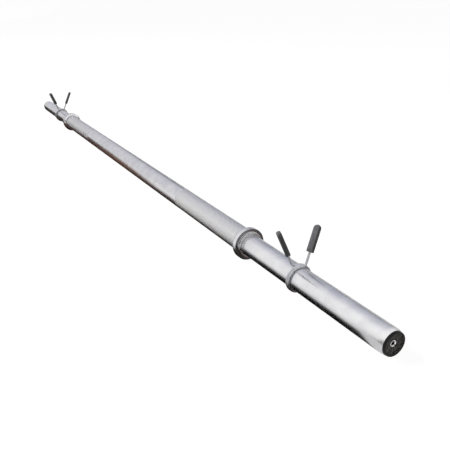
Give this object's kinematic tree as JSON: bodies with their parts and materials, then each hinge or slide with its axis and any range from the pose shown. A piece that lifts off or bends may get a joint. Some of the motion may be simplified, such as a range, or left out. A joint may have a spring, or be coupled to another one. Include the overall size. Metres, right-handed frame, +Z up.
{
  "type": "barbell",
  "caption": "Long straight thick-grip barbell with knurled grip, turning sleeves, stop collars, capped ends and a spring clip on each sleeve.",
  "frame": {"origin": "on the floor under the bar's middle, where the two collars stand on it", "axes": "+X along the bar, out of the end called right; +Y across the bar; +Z up, the side of the clips' handles"},
  "size_m": [2.44, 0.0982, 0.1449],
  "materials": {
    "chromed_steel": "satin chrome plating",
    "bare_steel": "turned",
    "spring_wire": "plated drawn wire",
    "zinc_steel": "zinc plated",
    "bronze": "sintered bronze",
    "black_plastic": "moulded, finely grained",
    "grey_vinyl": "dipped vinyl, satin"
  },
  "bodies": {
    "bar": {"grip_tube": "chromed_steel", "spindle_right": "bare_steel", "spindle_left": "bare_steel", "thrust_washer_right": "bronze", "thrust_washer_left": "bronze", "retaining_washer_right": "zinc_steel", "retaining_washer_left": "zinc_steel", "spring_washer_right": "zinc_steel", "spring_washer_left": "zinc_steel", "end_screw_right": "zinc_steel", "end_screw_left": "zinc_steel"},
    "sleeve_right": {"sleeve_tube_right": "chromed_steel", "collar_right": "chromed_steel", "inner_bushing_right": "bronze", "outer_bushing_right": "bronze", "end_cap_right": "black_plastic"},
    "sleeve_left": {"sleeve_tube_left": "chromed_steel", "collar_left": "chromed_steel", "inner_bushing_left": "bronze", "outer_bushing_left": "bronze", "end_cap_left": "black_plastic"},
    "clip_right": {"clip_coil_right": "spring_wire"},
    "clip_left": {"clip_coil_left": "spring_wire"},
    "outer_lever_right": {"clip_outer_handle_right": "spring_wire", "clip_outer_grip_right": "grey_vinyl"},
    "outer_lever_left": {"clip_outer_handle_left": "spring_wire", "clip_outer_grip_left": "grey_vinyl"},
    "inner_lever_right": {"clip_inner_handle_right": "spring_wire", "clip_inner_grip_right": "grey_vinyl"},
    "inner_lever_left": {"clip_inner_handle_left": "spring_wire", "clip_inner_grip_left": "grey_vinyl"}
  },
  "joints": [
    {"name": "sleeve_spin_right", "type": "hinge", "parent": "bar", "child": "sleeve_right", "pos_m": [0.9, 0, 0.03792], "axis": [1, 0, 0], "continuous": true},
    {"name": "sleeve_spin_left", "type": "hinge", "parent": "bar", "child": "sleeve_left", "pos_m": [-0.9, 0, 0.03792], "axis": [-1, 0, 0], "continuous": true},
    {"name": "clip_slide_right", "type": "slide", "parent": "sleeve_right", "child": "clip_right", "axis": [1, 0, 0], "range_m": [-0.1745, 0.2935]},
    {"name": "clip_slide_left", "type": "slide", "parent": "sleeve_left", "child": "clip_left", "axis": [-1, 0, 0], "range_m": [-0.1625, 0.3055]},
    {"name": "squeeze_outer_right", "type": "hinge", "parent": "clip_right", "child": "outer_lever_right", "pos_m": [0.956, 0, 0.03792], "axis": [1, 0, 0], "range_deg": [0, 16], "stiffness_Nm_per_rad": 4, "deforming": ["clip_coil_right"]},
    {"name": "squeeze_outer_left", "type": "hinge", "parent": "clip_left", "child": "outer_lever_left", "pos_m": [-0.944, 0, 0.03792], "axis": [-1, 0, 0], "range_deg": [0, 16], "stiffness_Nm_per_rad": 4, "deforming": ["clip_coil_left"]},
    {"name": "squeeze_inner_right", "type": "hinge", "parent": "clip_right", "child": "inner_lever_right", "pos_m": [0.956, 0, 0.03792], "axis": [1, 0, 0], "range_deg": [-16, 0], "stiffness_Nm_per_rad": 4, "deforming": ["clip_coil_right"]},
    {"name": "squeeze_inner_left", "type": "hinge", "parent": "clip_left", "child": "inner_lever_left", "pos_m": [-0.944, 0, 0.03792], "axis": [-1, 0, 0], "range_deg": [-16, 0], "stiffness_Nm_per_rad": 4, "deforming": ["clip_coil_left"]}
  ],
  "couplings": [
    {"joint": "squeeze_inner_right", "follows": "squeeze_outer_right", "ratio": -1},
    {"joint": "squeeze_inner_left", "follows": "squeeze_outer_left", "ratio": -1}
  ]
}
